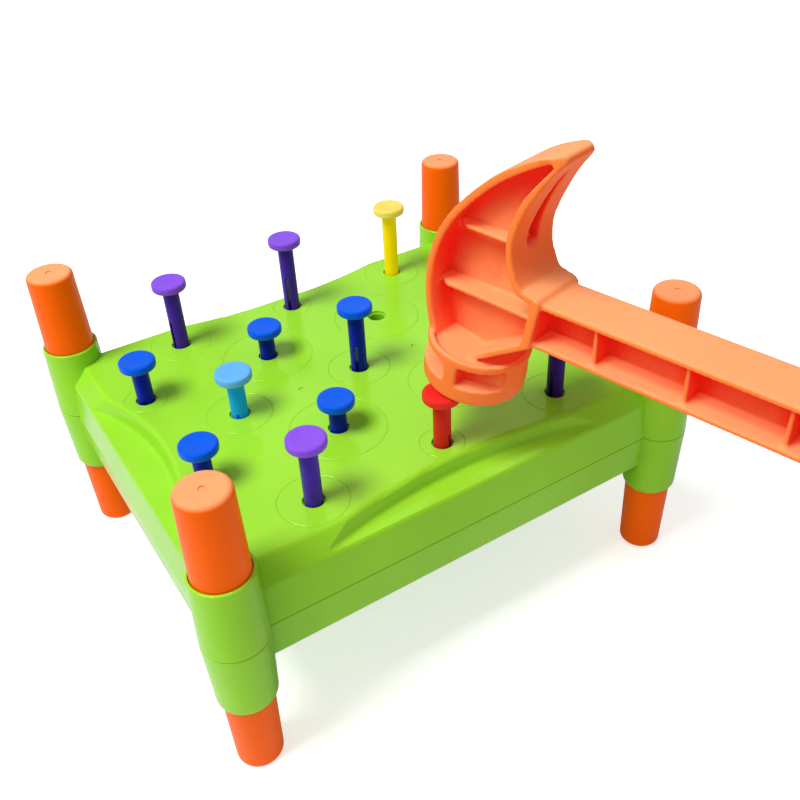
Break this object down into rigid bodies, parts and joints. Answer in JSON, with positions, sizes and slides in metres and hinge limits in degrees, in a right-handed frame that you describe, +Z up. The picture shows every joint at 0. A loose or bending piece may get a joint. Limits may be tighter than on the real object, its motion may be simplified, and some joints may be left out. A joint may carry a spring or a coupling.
{
  "type": "peg pounding bench",
  "caption": "Toy pounding bench on four legs with split nails that slide in guide tubes and a ribbed claw hammer resting on one of them.",
  "frame": {"origin": "centre of the bench on the floor it stands on", "axes": "+X along the bench, +Y across it towards the rear, +Z up"},
  "size_m": [0.2924, 0.4056, 0.28],
  "materials": {
    "green": "injection-moulded polypropylene, satin",
    "orange": "injection-moulded polypropylene, satin",
    "hammer": "injection-moulded polypropylene, satin",
    "purple": "injection-moulded plastic, semi-gloss",
    "blue": "injection-moulded plastic, semi-gloss",
    "light_blue": "injection-moulded plastic, semi-gloss",
    "yellow": "injection-moulded plastic, semi-gloss",
    "red": "injection-moulded plastic, semi-gloss",
    "dark_purple": "injection-moulded plastic, semi-gloss",
    "screws": "zinc-plated steel"
  },
  "bodies": {
    "bench": {"top_shell": "green", "bottom_shell": "green", "post_rear_left": "orange", "post_front_left": "orange", "post_rear_right": "orange", "post_front_right": "orange", "foot_rear_left": "orange", "foot_front_left": "orange", "foot_rear_right": "orange", "foot_front_right": "orange", "shell_screws": "screws"},
    "nail_purple_rear_left": {"nail_purple_rear_left": "purple"},
    "nail_purple_rear_middle": {"nail_purple_rear_middle": "purple"},
    "nail_yellow": {"nail_yellow": "yellow"},
    "nail_blue_rear_left": {"nail_blue_rear_left": "blue"},
    "nail_blue_rear_inner": {"nail_blue_rear_inner": "blue"},
    "nail_light_blue": {"nail_light_blue": "light_blue"},
    "nail_blue_middle": {"nail_blue_middle": "blue"},
    "nail_blue_front_left": {"nail_blue_front_left": "blue"},
    "nail_blue_front_inner": {"nail_blue_front_inner": "blue"},
    "nail_purple_front_left": {"nail_purple_front_left": "purple"},
    "nail_red": {"nail_red": "red"},
    "nail_dark_purple": {"nail_dark_purple": "dark_purple"},
    "hammer": {"hammer": "hammer"}
  },
  "joints": [
    {"name": "drive_purple_rear_left", "type": "slide", "parent": "bench", "child": "nail_purple_rear_left", "axis": [0, 0, 1], "range_m": [-0.0372, 0.0155]},
    {"name": "drive_purple_rear_middle", "type": "slide", "parent": "bench", "child": "nail_purple_rear_middle", "axis": [0, 0, 1], "range_m": [-0.04205, 0.01065]},
    {"name": "drive_yellow", "type": "slide", "parent": "bench", "child": "nail_yellow", "axis": [0, 0, 1], "range_m": [-0.04185, 0.01085]},
    {"name": "drive_blue_rear_left", "type": "slide", "parent": "bench", "child": "nail_blue_rear_left", "axis": [0, 0, 1], "range_m": [-0.02105, 0.03165]},
    {"name": "drive_blue_rear_inner", "type": "slide", "parent": "bench", "child": "nail_blue_rear_inner", "axis": [0, 0, 1], "range_m": [-0.01505, 0.03765]},
    {"name": "drive_light_blue", "type": "slide", "parent": "bench", "child": "nail_light_blue", "axis": [0, 0, 1], "range_m": [-0.02195, 0.03075]},
    {"name": "drive_blue_middle", "type": "slide", "parent": "bench", "child": "nail_blue_middle", "axis": [0, 0, 1], "range_m": [-0.03595, 0.01675]},
    {"name": "drive_blue_front_left", "type": "slide", "parent": "bench", "child": "nail_blue_front_left", "axis": [0, 0, 1], "range_m": [-0.01945, 0.03325]},
    {"name": "drive_blue_front_inner", "type": "slide", "parent": "bench", "child": "nail_blue_front_inner", "axis": [0, 0, 1], "range_m": [-0.01425, 0.03845]},
    {"name": "drive_purple_front_left", "type": "slide", "parent": "bench", "child": "nail_purple_front_left", "axis": [0, 0, 1], "range_m": [-0.03285, 0.01985]},
    {"name": "drive_red", "type": "slide", "parent": "bench", "child": "nail_red", "axis": [0, 0, 1], "range_m": [-0.02675, 0]},
    {"name": "drive_dark_purple", "type": "slide", "parent": "bench", "child": "nail_dark_purple", "axis": [0, 0, 1], "range_m": [-0.0349, 0.0178]},
    {"name": "hammer_lift", "type": "slide", "parent": "bench", "child": "hammer", "axis": [0, 0, 1], "range_m": [0, 0.15]}
  ]
}
